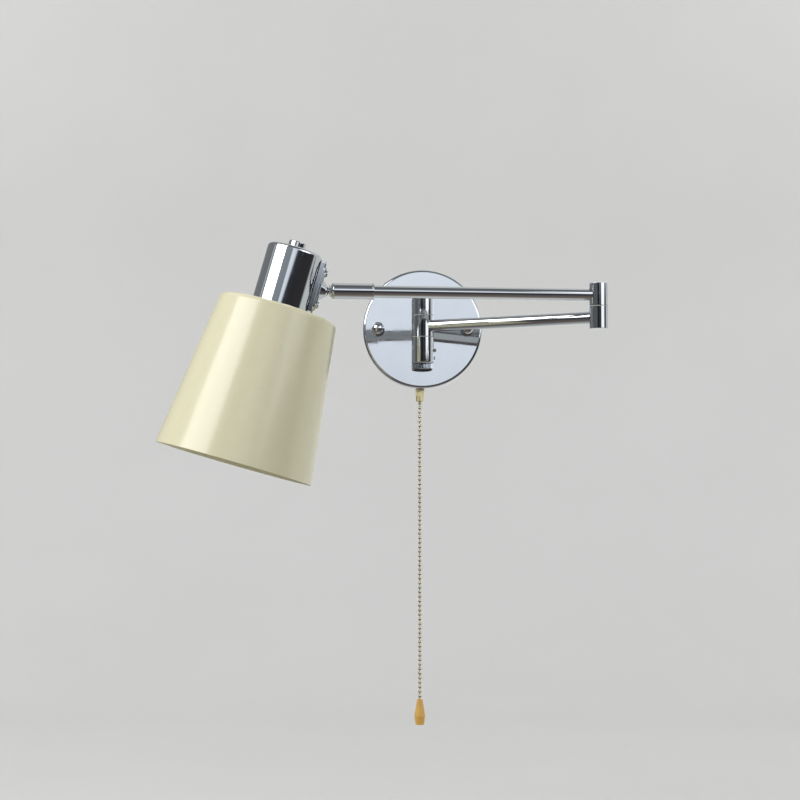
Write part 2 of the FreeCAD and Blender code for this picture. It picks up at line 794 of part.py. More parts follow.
def switch():
    """The pull switch: case, cover, spring, and the nozzle that clamps it in the canopy."""
    low, floor = f"-({SWITCH_SEAT})", f"switch_floor - ({SWITCH_SEAT})"
    case = without(
        block("switch_width", "switch_body_depth", "switch_height", z=low),
        rod("switch_bore / 2", "switch_height", at(z=floor)),
        rod("nozzle_diameter / 2 + fit_gap", "switch_floor + cut_overlap", at(z=low)),
    )
    keep("switch_case", case, switch_axes)
    cover = block("switch_width", "switch_body_depth", "switch_cover_height", z=SWITCH_TOP)
    holes = []
    for sign in SIDES:
        place = at(f"{sign}switch_core_spacing / 2", z=SWITCH_TOP)
        holes.append(rod("core_diameter / 2 + fit_gap", "switch_cover_height", place))
    keep("switch_cover", without(cover, *holes), switch_axes)

    seat = "fit_gap + spring_wire / 2"
    rise = value(f"{DISC_LOW} - ({floor}) - 2 * ({seat})")
    spring = coil(value("spring_diameter / 2"), rise, value("spring_turns"), value("spring_wire"))
    shaped("switch_spring", spring, f"{switch_axes} * {at(z=f'{floor} + {seat}')}")

    mouth_top = "-(canopy_diameter / 2 + slide_gap + nozzle_nut_height)"
    shank, mouth = "nozzle_diameter / 2", "nozzle_mouth_diameter / 2"
    nozzle = turned(
        "nozzle_turned",
        [
            ("nozzle_bore / 2", floor),
            ("nozzle_bore / 2", f"{mouth_top} - nozzle_mouth_length"),
            (mouth, f"{mouth_top} - nozzle_mouth_length"),
            (mouth, mouth_top),
            (shank, mouth_top),
            (shank, floor),
        ],
    )
    rounded(nozzle, "nozzle_mouth_edge", (mouth, f"{mouth_top} - nozzle_mouth_length"))
    keep("switch_nozzle", nozzle, switch_axes)
    place = at(z=mouth_top, turn="30")
    flats = nut("nozzle_nut_width", f"{shank} + fit_gap", "nozzle_nut_height", place)
    keep("nozzle_nut", flats, switch_axes)


def bead_chain():
    """Round beads on a thin link, as one piece turned about its own axis."""
    r, link, pitch = value("bead_diameter / 2"), value("link_diameter / 2"), value("bead_pitch")
    top, count = value(BEAD_TOP), int(value("bead_count"))
    edge = math.sqrt(r**2 - link**2)
    edges = []

    def spot(x, z):
        return FreeCAD.Vector(x, 0, z)

    for n in range(count):
        z = top - n * pitch
        start = spot(0, z + r) if n == 0 else spot(link, z + edge)
        end = spot(0, z - r) if n == count - 1 else spot(link, z - edge)
        if n:
            edges.append(Part.LineSegment(spot(link, z + pitch - edge), start).toShape())
        edges.append(Part.Arc(start, spot(r, z), end).toShape())
    low = top - (count - 1) * pitch - r
    edges.append(Part.LineSegment(spot(0, low), spot(0, top + r)).toShape())
    face = Part.Face(Part.Wire(edges))
    shaped("bead_chain", face.revolve(spot(0, 0), FreeCAD.Vector(0, 0, 1), 360), switch_axes)


def pull():
    """What moves when the chain is pulled: plunger, chain, its end stop and the wooden knob."""
    socket = "bead_diameter / 2 + bead_gap"
    plunger = without(
        fused(
            rod("plunger_diameter / 2", "plunger_disc", at(z=DISC_LOW)),
            rod(
                "plunger_boss / 2",
                "plunger_boss_height + cut_overlap",
                at(z=f"{DISC_LOW} - plunger_boss_height"),
            ),
        ),
        rod(
            socket,
            "plunger_boss_height - socket_neck",
            at(z=f"{DISC_LOW} - plunger_boss_height + socket_neck"),
        ),
        rod("socket_neck_diameter / 2", "2 * socket_neck", at(z=f"{DISC_LOW} - plunger_boss_height")),
    )
    keep("switch_plunger", plunger, switch_axes)
    room = f"{DISC_LOW} - plunger_boss_height - (switch_floor - ({SWITCH_SEAT}))"
    if value(room) < value("switch_travel"):
        raise ValueError("the plunger has no room for its travel")
    bead_chain()

    last = f"{BEAD_TOP} - (bead_count - 1) * bead_pitch"
    stop = without(
        rod("chain_stop_diameter / 2", "chain_stop_height", at(z=f"{last} - chain_stop_height / 2")),
        ball(socket, at(z=last)),
        rod("socket_neck_diameter / 2", "chain_stop_height", at(z=last)),
    )
    keep("chain_stop", stop, switch_axes)

    shoulder = f"{last} + chain_stop_height / 2 + bead_gap"
    top = f"{shoulder} + knob_shoulder"
    widest, low = f"{top} - knob_widest", f"{top} - knob_length"
    bore, wide = "knob_bore / 2", "chain_stop_diameter / 2 + bead_gap"
    knob = turned(
        "knob_turned",
        [
            (bore, top),
            (bore, shoulder),
            (wide, shoulder),
            (wide, low),
            ("knob_foot_diameter / 2 + knob_edge", low),
            ("knob_diameter / 2", widest),
            ("knob_top_diameter / 2", top),
        ],
    )
    keep("pull_knob", knob, switch_axes)


LEAD_SAG = "tube_diameter / 2 - tube_wall - lead_diameter / 2 - slide_gap"


def tube(label, start, end, axes):
    place = at(start, **ALONG_X)
    length = f"{end} - ({start})"
    inner = "tube_diameter / 2 - tube_wall"
    keep(label, ring("tube_diameter / 2", inner, length, place), axes)


def lower_arm():
    """The lower arm: the knuckle on the post, the tube and the lower half of the elbow."""
    knuckle = "wall_knuckle_height"
    bush = "pivot_diameter / 2 + fit_gap + bush_wall"
    bore = f"{bush} + fit_gap"
    barrel = without(
        rod("post_diameter / 2", knuckle, at(z=f"-{knuckle} / 2")),
        rod(bore, knuckle, at(z=f"-{knuckle} / 2")),
        rod("tube_diameter / 2 + fit_gap", "post_diameter", at(**ALONG_X)),
    )
    keep("wall_knuckle", barrel, lower_axes)
    bushes = []
    for low in (f"{knuckle} / 2 - bush_length", f"-{knuckle} / 2"):
        bushes.append(ring(bush, "pivot_diameter / 2 + fit_gap", "bush_length", at(z=low)))
    keep("knuckle_bushings", several(*bushes), lower_axes)

    elbow_end = "lower_arm_length - chamber_diameter / 2 - tube_inset"
    tube("lower_arm_tube", f"{bore} + tube_inset", elbow_end, lower_axes)

    half, height = "elbow_diameter / 2", "elbow_knuckle_height"
    floor = f"{height} / 2 - elbow_floor"
    shell = without(
        rod(half, height, at(z=f"-{height} / 2")),
        rod("chamber_diameter / 2", f"{height} - elbow_floor", at(z=f"-{height} / 2")),
        rod("pivot_diameter / 2 + fit_gap", height, at(z="0")),
        rod("tube_diameter / 2 + fit_gap", "elbow_diameter", at(**AGAINST_X)),
    )
    keep("elbow_lower_knuckle", shell, elbow_axes)
    elbow_cap("elbow_bottom_cap", elbow_axes, UPSIDE_DOWN)

    nut_low = f"{elbow_rise} - ({floor}) + slide_gap"
    pivot_top = f"{nut_low} + elbow_nut_height + pivot_tail"
    pivot = turned(
        "pivot_turned",
        [
            ("pivot_bore / 2", f"{floor} - pivot_head_height"),
            ("pivot_head_diameter / 2", f"{floor} - pivot_head_height"),
            ("pivot_head_diameter / 2", floor),
            ("pivot_diameter / 2", floor),
            ("pivot_diameter / 2", pivot_top),
            ("pivot_bore / 2", pivot_top),
        ],
    )
    keep("elbow_pivot", pivot, elbow_axes)
    hole = "pivot_diameter / 2 + fit_gap"
    keep("elbow_lock_nut", nut("elbow_nut_width", hole, "elbow_nut_height", at(z=nut_low)), elbow_axes)
    washer = ring(f"{half} - washer_inset", hole, "swivel_washer_thickness", at(z=f"{height} / 2"))
    keep("elbow_washer", washer, elbow_axes)

    far, sag, bend = value("lower_arm_length"), value(LEAD_SAG), value("lead_bend")
    route = [
        (0, 0, value("lead_split")),
        (0, 0, -sag),
        (far, 0, -sag),
        (far, 0, value("elbow_lead_split")),
    ]
    shaped("lower_arm_lead", swept(routed(route, [bend] * 2), value("lead_diameter")), lower_axes)


def elbow_cap(label, axes, flip=None):
    """A thin cap with a spigot that closes one end of the elbow."""
    half, top = "elbow_diameter / 2", "elbow_knuckle_height / 2"
    spigot = "chamber_diameter / 2 - fit_gap"
    cap = turned(
        f"{label}_turned",
        [
            ("0", f"{top} - elbow_cap_spigot"),
            (spigot, f"{top} - elbow_cap_spigot"),
            (spigot, top),
            (half, top),
            (half, f"{top} + elbow_cap_height"),
            ("0", f"{top} + elbow_cap_height"),
        ],
    )
    rounded(cap, "elbow_cap_edge", (half, f"{top} + elbow_cap_height"))
    keep(label, cap, f"{axes} * {flip}" if flip else axes)


SLEEVE_END = "upper_arm_length - ball_stand_off"
SLEEVE_START = f"{SLEEVE_END} - sleeve_length"
LIP_END = f"{SLEEVE_START} + sleeve_lip"


def upper_arm():
    """The upper arm: the upper half of the elbow, the tube, and the collar that keeps the sleeve."""
    height, floor = "elbow_knuckle_height", "elbow_floor"
    shell = without(
        rod("elbow_diameter / 2", height, at(z=f"-{height} / 2")),
        rod("chamber_diameter / 2", height, at(z=f"{floor} - {height} / 2")),
        rod("pivot_diameter / 2 + fit_gap", f"{floor} + cut_overlap", at(z=f"-{height} / 2")),
        rod("tube_diameter / 2 + fit_gap", "elbow_diameter", at(**ALONG_X)),
    )
    keep("elbow_upper_knuckle", shell, upper_axes)
    elbow_cap("elbow_top_cap", upper_axes)

    collar_start = f"{LIP_END} + slide_gap"
    tube_end = f"{collar_start} + swivel_collar_length + tube_tail"
    tube("upper_arm_tube", "chamber_diameter / 2 + tube_inset", tube_end, upper_axes)
    stop = ring(
        "sleeve_bore / 2 - swivel_collar_gap",
        "tube_diameter / 2 + fit_gap",
        "swivel_collar_length",
        at(collar_start, **ALONG_X),
    )
    keep("swivel_collar", stop, upper_axes)

    sag, settle, bend = value(LEAD_SAG), value("lead_settle"), value("lead_settle_bend")
    lead_end = f"{tube_end} + lead_tail"
    straight = value(f"{lead_end} - lead_settle / 2")
    route = [
        (0, 0, value(f"elbow_lead_split + lead_end_gap - ({elbow_rise})")),
        (0, 0, sag),
        (straight - settle, 0, sag),
        (straight, 0, 0),
        (value(lead_end), 0, 0),
    ]
    lead = swept(routed(route, [value("lead_bend"), bend, bend]), value("lead_diameter"))
    shaped("upper_arm_lead", lead, upper_axes)
    return lead_end


def head_mount(lead_start):
    """The sleeve that turns on the upper arm, with the plug and the ball stud in its end."""
    plug = f"{SLEEVE_END} - sleeve_plug_head"
    outer, bore = "sleeve_diameter / 2", "sleeve_bore / 2"
    rim = f"{outer} + sleeve_rim_proud"
    sleeve = turned(
        "sleeve_turned",
        [
            ("tube_diameter / 2 + fit_gap", "0"),
            (rim, "0"),
            (rim, "sleeve_rim"),
            (outer, "sleeve_rim"),
            (outer, "sleeve_length - sleeve_plug_head"),
            (bore, "sleeve_length - sleeve_plug_head"),
            (bore, "sleeve_lip"),
            ("tube_diameter / 2 + fit_gap", "sleeve_lip"),
        ],
    )
    rounded(sleeve, "sleeve_edge", (rim, "0"), (rim, "sleeve_rim"))
    keep("head_sleeve", sleeve, f"{upper_axes} * {at(SLEEVE_START, **ALONG_X)}")

    hole = "stud_neck_diameter / 2 + fit_gap"
    end = turned(
        "plug_turned",
        [
            (hole, "-sleeve_plug_spigot"),
            (f"{bore} - fit_gap", "-sleeve_plug_spigot"),
            (f"{bore} - fit_gap", "0"),
            (outer, "0"),
            (outer, "sleeve_plug_head"),
            (hole, "sleeve_plug_head"),
        ],
    )
    rounded(end, "sleeve_plug_round", (outer, "sleeve_plug_head"))
    keep("sleeve_plug", end, f"{upper_axes} * {at(plug, **ALONG_X)}")

    neck = "ball_stand_off + stud_thread"
    stud = without(
        fused(
            rod("stud_neck_diameter / 2", neck, at(f"-({neck})", **ALONG_X)),
            ball("ball_diameter / 2"),
        ),
        rod("stud_bore / 2", f"{neck} + ball_diameter", at(f"-({neck}) - cut_overlap", **ALONG_X)),
    )
    keep("ball_stud", stud, ball_axes)
    place = at("-ball_stand_off", **ALONG_X)
    keep("stud_lock_nut", nut("stud_nut_width", hole, "stud_nut_height", place), ball_axes)
    start = f"{lead_start} + lead_end_gap"
    length = f"upper_arm_length + ball_diameter / 2 - cut_overlap - ({start})"
    place = f"{upper_axes} * {at(start, **ALONG_X)}"
    keep("stud_lead", rod("lead_diameter / 2", length), place)


def ball_bracket():
    """The two plates that hold the ball, the saddle behind them, and their screws and nuts."""
    seat = "ball_diameter / 2 + fit_gap"
    socket = at("ball_offset", z="ball_height")
    back = "base_plate_offset - base_plate_thickness"
    front = "base_plate_offset + plate_gap + clamp_plate_thickness"

    def screw_holes(start, length):
        spots = [f"plate_height {sign} clamp_screw_spacing / 2" for sign in "+-"]
        return [
            rod("clamp_screw_diameter / 2 + fit_gap", length, at(start, z=z, **ALONG_X)) for z in spots
        ]

    outline = stadium("base_plate_length", "base_plate_width")
    base = slab("base_plate_blank", outline, "base_plate_thickness")
    base.setExpression("Placement", at(back, z="plate_height", **ALONG_X))
    base = without(base, ball(seat, socket), *screw_holes(back, "base_plate_thickness"))
    keep("joint_base_plate", base, head_axes)

    flat = slab(
        "clamp_plate_blank", stadium("clamp_plate_length", "clamp_plate_width"), "clamp_plate_thickness"
    )
    flat.setExpression("Placement", at("base_plate_offset + plate_gap", z="plate_height", **ALONG_X))
    root = f"{front} - clamp_plate_thickness / 2"
    boss = taper(
        "clamp_boss_diameter / 2",
        "clamp_rim_diameter / 2",
        f"ball_offset + clamp_lip - ({root})",
        at(root, z="ball_height", **ALONG_X),
    )
    clamp = without(
        fused(flat, boss),
        ball(seat, socket),
        *screw_holes("base_plate_offset", "clamp_plate_thickness + plate_gap"),
    )
    keep("joint_clamp_plate", clamp, head_axes)

    inside = "cover_diameter / 4"
    saddle = without(
        block(
            f"{back} - {inside}",
            "saddle_width",
            "saddle_length",
            f"({back} + {inside}) / 2",
            z="plate_height - saddle_length / 2",
        ),
        rod("cover_diameter / 2 + fit_gap", "cover_height * 2", at(z="-cover_height / 2")),
        rod("saddle_hole_diameter / 2", "cover_diameter", at(z="ball_height", **ALONG_X)),
        *screw_holes("0", back),
    )
    keep("joint_saddle", saddle, head_axes)

    nut_front = "cover_diameter / 2 - cover_wall - clamp_nut_seat"
    nut_back = f"{nut_front} - clamp_nut_height"
    screws, nuts = [], []
    for sign in "+-":
        z = f"plate_height {sign} clamp_screw_spacing / 2"
        screw = turned(
            "clamp_screw_turned",
            [
                ("0", nut_back),
                ("clamp_screw_diameter / 2", nut_back),
                ("clamp_screw_diameter / 2", front),
                ("clamp_screw_head / 2", front),
                ("clamp_screw_head / 2", f"{front} + clamp_screw_head_height"),
                ("0", f"{front} + clamp_screw_head_height"),
            ],
        )
        top = f"{front} + clamp_screw_head_height"
        rounded(screw, "clamp_screw_edge", ("clamp_screw_head / 2", top))
        low = f"{top} - recess_depth"
        screw = without(
            screw,
            block("recess_span", "recess_width", "recess_depth", z=low),
            block("recess_width", "recess_span", "recess_depth", z=low),
        )
        screw.setExpression("Placement", at(z=z, **ALONG_X))
        screws.append(screw)
        place = at(nut_back, z=z, **ALONG_X)
        hole = "clamp_screw_diameter / 2 + fit_gap"
        nuts.append(nut("clamp_nut_width", hole, "clamp_nut_height", place))
    keep("clamp_screws", several(*screws), head_axes)
    keep("clamp_nuts", several(*nuts), head_axes)
    return screw_holes


def lampholder_cover(screw_holes):
    """The drawn cup over the lampholder, and the cap screw that pulls it down on the shade."""
    half, top, wall = "cover_diameter / 2", "cover_height", "cover_wall"
    cup = turned(
        "cover_turned",
        [
            (f"{half} - {wall}", "0"),
            (half, "0"),
            (half, top),
            ("0", top),
            ("0", f"{top} - {wall}"),
            (f"{half} - {wall}", f"{top} - {wall}"),
        ],
    )
    rounded(cup, "cover_edge", (half, top))
    rounded(cup, f"cover_edge - {wall}", (f"{half} - {wall}", f"{top} - {wall}"))
    cup = without(
        cup,
        rod("cap_screw_diameter / 2 + fit_gap", f"{wall} * 3", at(z=f"{top} - {wall} * 2")),
        rod("cover_lead_hole / 2", half, at(half, z="ball_height - cover_lead_hole_drop", **AGAINST_X)),
        *screw_holes(f"{half} / 2", half),
    )
    keep("lampholder_cover", cup, head_axes)
    screw = turned(
        "cap_screw_turned",
        [
            ("0", f"{top} - cap_screw_length"),
            ("cap_screw_diameter / 2", f"{top} - cap_screw_length"),
            ("cap_screw_diameter / 2", top),
            ("cap_screw_head / 2", top),
            ("cap_screw_head / 2", f"{top} + cap_screw_head_height"),
            ("0", f"{top} + cap_screw_head_height"),
        ],
    )
    rounded(screw, "cap_screw_edge", ("cap_screw_head / 2", f"{top} + cap_screw_head_height"))
    keep("cap_screw", screw, head_axes)


HOLDER_TOP = "cover_height - cover_wall - holder_top_gap"


def lampholder():
    """The lampholder: body, threaded shell, centre contact, and the lead into its top."""
    thread, neck = "holder_thread_diameter / 2", "holder_neck_diameter / 2"
    flange = "holder_flange_diameter / 2"
    outside = turned(
        "holder_turned",
        [
            ("0", "-holder_drop"),
            (thread, "-holder_drop"),
            (thread, "0"),
            (flange, "0"),
            (flange, "holder_flange_height"),
            (neck, "holder_flange_height"),
            (neck, HOLDER_TOP),
            ("0", HOLDER_TOP),
        ],
    )
    rounded(outside, "holder_edge", (neck, HOLDER_TOP))
    body = without(
        outside,
        rod("holder_bore / 2", "holder_drop + holder_web_height", at(z="-holder_drop")),
        rod(
            "holder_cavity / 2",
            f"{HOLDER_TOP} - holder_roof - holder_web_height - holder_web",
            at(z="holder_web_height + holder_web"),
        ),
        rod(
            "cap_screw_diameter / 2 + fit_gap",
            "holder_roof + cut_overlap",
            at(z=f"{HOLDER_TOP} - holder_roof"),
        ),
        rod(
            "lead_diameter / 2 + fit_gap",
            "holder_roof + cut_overlap",
            at("holder_lead_offset", z=f"{HOLDER_TOP} - holder_roof"),
        ),
    )
    keep("lampholder_body", body, head_axes)
    shell_low = "shell_rise - holder_drop"
    shell = ring(
        "shell_diameter / 2",
        "shell_diameter / 2 - shell_wall",
        f"holder_web_height - shell_top_gap - ({shell_low})",
        at(z=shell_low),
    )
    keep("lampholder_shell", shell, head_axes)
    contact = rod("contact_diameter / 2", "contact_thickness")
    place = at(z="holder_web_height - contact_thickness")
    keep("lampholder_contact", contact, f"{head_axes} * {place}")

    side = value("holder_neck_diameter / 2 + lead_run_gap + lead_diameter / 2")
    tilt, bend = math.radians(value("head_tilt_angle")), value("head_lead_bend")
    away = value("ball_diameter / 2 + ball_lead_gap")
    start_x = value("ball_offset") - away * math.cos(tilt)
    start_z = value("ball_height") - away * math.sin(tilt)
    over = value(f"{HOLDER_TOP} + holder_top_gap / 2")
    drop, low = value("holder_lead_offset"), value(f"{HOLDER_TOP} - holder_roof / 2")
    route = [(start_x, 0, start_z), (side, 0, start_z), (side, 0, over), (drop, 0, over), (drop, 0, low)]
    lead = swept(routed(route, [bend] * 3), value("lead_diameter"))
    shaped("head_lead", lead, head_axes)


def bulb():
    """An LED bulb: screw cap with its tip, a flared base and a round diffuser."""
    tip_top = "holder_web_height - contact_thickness"
    cap_top = f"{tip_top} - bulb_tip_height"
    cap_low = f"{cap_top} - bulb_cap_length"
    cap = fused(
        rod("bulb_cap_diameter / 2", "bulb_cap_length", at(z=cap_low)),
        rod("bulb_tip_diameter / 2", "bulb_tip_height + cut_overlap", at(z=f"{cap_top} - cut_overlap")),
    )
    keep("bulb_cap", cap, head_axes)
    radius, rim = "bulb_diameter / 2", "bulb_base_diameter / 2"
    joint = f"sqrt(({radius})^2 - ({rim})^2) - bulb_centre_drop"
    base = turned(
        "bulb_base_turned",
        [
            ("0", cap_low),
            ("bulb_neck_diameter / 2", cap_low),
            ("bulb_neck_diameter / 2", f"{cap_low} - bulb_neck_length", "bulb_base_flare"),
            (rim, joint),
            ("0", joint),
        ],
    )
    keep("bulb_base", base, head_axes)
    centre = at(z="-bulb_centre_drop")
    globe = without(
        ball(radius, centre),
        ball(f"{radius} - bulb_wall", centre),
        rod("bulb_diameter", "bulb_diameter", at(z=joint)),
    )
    keep("bulb_diffuser", globe, head_axes)


def shade():
    """The conical shade, and the ring that clamps it up against the lampholder's flange."""
    top, mouth, wall = "shade_top_diameter / 2", "shade_mouth_diameter / 2", "shade_wall"
    hole = "shade_hole_diameter / 2"
    cone = turned(
        "shade_turned",
        [
            (hole, "0"),
            (hole, f"-{wall}"),
            (f"{top} - {wall}", f"-{wall}"),
            (f"{mouth} - {wall}", "-shade_height"),
            (mouth, "-shade_height"),
            (top, "0"),
        ],
    )
    rounded(cone, "shade_shoulder", (top, "0"))
    rounded(cone, f"shade_shoulder - {wall}", (f"{top} - {wall}", f"-{wall}"))
    keep("lamp_shade", cone, head_axes)
    low = f"-{wall} - ring_height"
    clamp = turned(
        "ring_turned",
        [
            ("holder_thread_diameter / 2 + fit_gap", low),
            ("ring_diameter / 2", low),
            ("ring_diameter / 2", f"-{wall}"),
            ("holder_thread_diameter / 2 + fit_gap", f"-{wall}"),
        ],
    )
    rounded(clamp, "ring_edge", ("ring_diameter / 2", low))
    keep("shade_ring", clamp, head_axes)


def checked():
    """Stops if any object failed or a kept piece is not a sound closed solid."""
    doc.recompute()
    for thing in doc.Objects:
        if "Invalid" in thing.State or "Error" in thing.State:
            raise ValueError(f"{thing.Label} failed: {thing.State}")
    for piece in KEPT:
        shape = piece.Shape
        if shape.isNull() or not shape.isValid() or not shape.Solids:
            raise ValueError(f"{piece.Label} is not a sound solid")


canopy()
wall_bar()
post()
terminals()
switch()
pull()
lower_arm()
head_mount(upper_arm())
lampholder_cover(ball_bracket())
lampholder()
bulb()
shade()
checked()

os.makedirs("parts", exist_ok=True)
for piece in KEPT:
    piece.Shape.exportStep(f"parts/{piece.Label}.step")
print(len(KEPT), "pieces,", sum(len(piece.Shape.Solids) for piece in KEPT), "solids")
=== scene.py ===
import json
import math

import bpy
import numpy as np
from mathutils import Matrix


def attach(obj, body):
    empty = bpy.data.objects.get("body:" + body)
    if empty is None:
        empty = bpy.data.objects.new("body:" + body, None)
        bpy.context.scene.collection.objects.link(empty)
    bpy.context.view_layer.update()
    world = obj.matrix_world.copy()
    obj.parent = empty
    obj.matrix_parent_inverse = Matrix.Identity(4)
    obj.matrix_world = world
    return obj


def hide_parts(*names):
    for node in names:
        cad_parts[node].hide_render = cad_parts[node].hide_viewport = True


# Swing-arm wall lamp in chrome and cream enamel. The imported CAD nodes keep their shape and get
# their finishes here; the bead chain is drawn here. Metres, +Z up, -Y away from the wall.
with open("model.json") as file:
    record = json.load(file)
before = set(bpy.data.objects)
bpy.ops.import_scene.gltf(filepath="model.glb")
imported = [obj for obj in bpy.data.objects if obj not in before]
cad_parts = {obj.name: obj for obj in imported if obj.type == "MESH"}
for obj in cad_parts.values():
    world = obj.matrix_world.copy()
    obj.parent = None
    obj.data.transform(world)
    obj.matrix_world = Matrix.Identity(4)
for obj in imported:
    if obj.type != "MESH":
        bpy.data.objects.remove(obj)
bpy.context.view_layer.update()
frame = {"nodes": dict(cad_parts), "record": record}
print("frame loaded:", len(frame["nodes"]), "nodes")

mm = 0.001


def srgb(code):  # "#rrggbb" to linear red, green, blue, alpha
    parts = [int(code[i : i + 2], 16) / 255 for i in (1, 3, 5)]
    linear = [p / 12.92 if p <= 0.04045 else ((p + 0.055) / 1.055) ** 2.4 for p in parts]
    return (*linear, 1.0)


# camera: a long lens a little below the lamp, looking slightly up
view = {
    "place": (-0.0208, -1.687, -0.1439),
    "lens": 81.0,  # mm
    "sensor": 36.0,  # mm
    "pitchUp": 2.7,  # degrees
}


def makeCamera():
    data = bpy.data.cameras.new("photoCamera")
    data.lens = view["lens"]
    data.sensor_width = view["sensor"]
    camera = bpy.data.objects.new("photoCamera", data)
    camera.location = view["place"]
    camera.rotation_euler = (math.radians(90 + view["pitchUp"]), 0, 0)
    bpy.context.scene.collection.objects.link(camera)
    bpy.context.scene.camera = camera


makeCamera()
bpy.context.scene.view_settings.view_transform = "Standard"
print("camera placed")


def meshObject(name, points, faces):
    mesh = bpy.data.meshes.new(name)
    mesh.from_pydata(points.tolist(), [], faces)
    mesh.polygons.foreach_set("use_smooth", np.ones(len(mesh.polygons), bool))
    mesh.update()
    piece = bpy.data.objects.new(name, mesh)
    bpy.context.scene.collection.objects.link(piece)
    return piece


# bead chain: hollow beads on short wires, hanging straight down from the switch
chain = {
    "route": [(-0.0024, -0.014, -0.033306), (-0.0024, -0.014, -0.19), (-0.0024, -0.014, -0.352666)],
    "routeSteps": 24,
    "beadRadius": 1.6 * mm,
    "pitch": 4.16 * mm,
    "wireRadius": 0.45 * mm,
    "rings": 12,  # rows of faces on each bead
    "sides": 18,
    "exit": (-0.0024, -0.014, -0.0622),  # in the mouth of the nozzle
}


def routeLine(route):
    curve = bpy.data.curves.new("chainRoute", "CURVE")
    curve.dimensions = "3D"
    curve.resolution_u = chain["routeSteps"]
    spline = curve.splines.new("NURBS")
    spline.points.add(len(route) - 1)
    spline.points.foreach_set("co", [c for point in route for c in (*point, 1.0)])
    spline.order_u = 3
    spline.use_endpoint_u = True
    holder = bpy.data.objects.new("chainRoute", curve)
    mesh = bpy.data.meshes.new_from_object(holder)
    line = np.zeros(len(mesh.vertices) * 3)
    mesh.vertices.foreach_get("co", line)
    bpy.data.objects.remove(holder)
    bpy.data.meshes.remove(mesh)
    return line.reshape(-1, 3)


def makeChain():
    # profile r(s) carried down the line: a bead is r = R sin(t), s = -R cos(t), t from t0 to pi - t0,
    # where R sin(t0) is the wire's radius; the wire runs straight from bead to bead
    line = routeLine(chain["route"])
    gone = np.concatenate([[0], np.cumsum(np.linalg.norm(np.diff(line, axis=0), axis=1))])
    radius, wire = chain["beadRadius"], chain["wireRadius"]
    length = gone[-1]
    count = int(round((length - 2 * radius) / chain["pitch"])) + 1
    start = math.asin(wire / radius)
    turn = np.linspace(start, math.pi - start, chain["rings"] + 1)
    centres = radius + chain["pitch"] * np.arange(count)
    along = (centres[:, None] - radius * np.cos(turn)).ravel()
    around = np.tile(radius * np.sin(turn), count)
    middle = np.stack([np.interp(along, gone, line[:, axis]) for axis in range(3)], -1)
    rows, sides = len(along), chain["sides"]
    ring = np.arange(sides)
    angle = ring * 2 * math.pi / sides
    spoke = np.stack([np.cos(angle), np.sin(angle), np.zeros_like(angle)], -1)
    points = middle[:, None] + around[:, None, None] * spoke
    points = np.vstack([points.reshape(-1, 3), middle[:1], middle[-1:]])
    # quads between neighbouring rings, and a fan of triangles at each end
    after = (ring + 1) % sides
    step = np.arange(rows - 1)[:, None] * sides
    quads = np.stack([step + ring, step + ring + sides, step + after + sides, step + after], -1)
    low, first, last = (rows - 1) * sides, rows * sides, rows * sides + 1
    topCap = np.stack([np.full(sides, first), ring, after], -1)
    lowCap = np.stack([np.full(sides, last), low + after, low + ring], -1)
    faces = quads.reshape(-1, 4).tolist() + topCap.tolist() + lowCap.tolist()
    piece = meshObject("chainBeads", points, faces)
    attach(piece, "pull_chain")
    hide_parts("bead_chain")
    return piece


chainPiece = makeChain()
print("chain drawn")


def addNode(tree, kind, inputs=None, **settings):
    # an input is a constant, or the socket that feeds it
    node = tree.nodes.new(kind)
    for key, setting in settings.items():
        setattr(node, key, setting)
    for key, source in (inputs or {}).items():
        if isinstance(source, bpy.types.NodeSocket):
            tree.links.new(source, node.inputs[key])
        else:
            node.inputs[key].default_value = source
    return node


def newMaterial(name):
    material = bpy.data.materials.new(name)
    material.use_nodes = True
    tree = material.node_tree
    tree.nodes.clear()
    return material, tree, addNode(tree, "ShaderNodeTexCoord").outputs["Object"]


def perMetre(size):  # noise scale for a pattern of that size in mm
    return 1000.0 / size


noiseGrain = {"Roughness": 0.55}
noiseSpan = {"From Min": 0.3, "From Max": 0.7}  # nearly all of a noise lies in it

# bright finishes: colour, wipe marks in the roughness, and the waviness that bends reflections;
# mark, wave and depth are in mm
metals = {
    # hexavalent chrome on polished steel: a cold dark mirror, softened by wiping
    "chromePlate": dict(
        slot="chrome", colour="#CDD0D4", rough=(0.035, 0.075), mark=9, wave=22, depth=0.012
    ),
    # bright zinc on pressed steel: grey, satin, faintly mottled
    "zincPlatedSteel": dict(
        slot="zinc_steel", colour="#A9ABAC", rough=(0.24, 0.38), mark=2.5, wave=4, depth=0.01
    ),
    # drawn spring wire: darker, with a dull sheen
    "springWire": dict(
        slot="spring_steel", colour="#7C7F84", rough=(0.25, 0.35), mark=1.5, wave=3, depth=0.004
    ),
    # plain turned brass: pale yellow, with fine lathe marks dulled by handling
    "turnedBrass": dict(
        slot="brass", colour="#FBEDBE", rough=(0.3, 0.44), mark=1.2, wave=3, depth=0.006
    ),
    # brass-plated beads: pale gold, small bright glints
    "brassBeads": dict(
        slot="gold_chain", colour="#DFD6B6", rough=(0.22, 0.34), mark=1.5, wave=2, depth=0.004
    ),
    # nickel-plated screw cap: warm grey
    "nickelPlate": dict(
        slot="nickel_cap", colour="#BDB8AE", rough=(0.18, 0.28), mark=2, wave=4, depth=0.006
    ),
}
dullPatch = 0.94  # of the metal's own colour

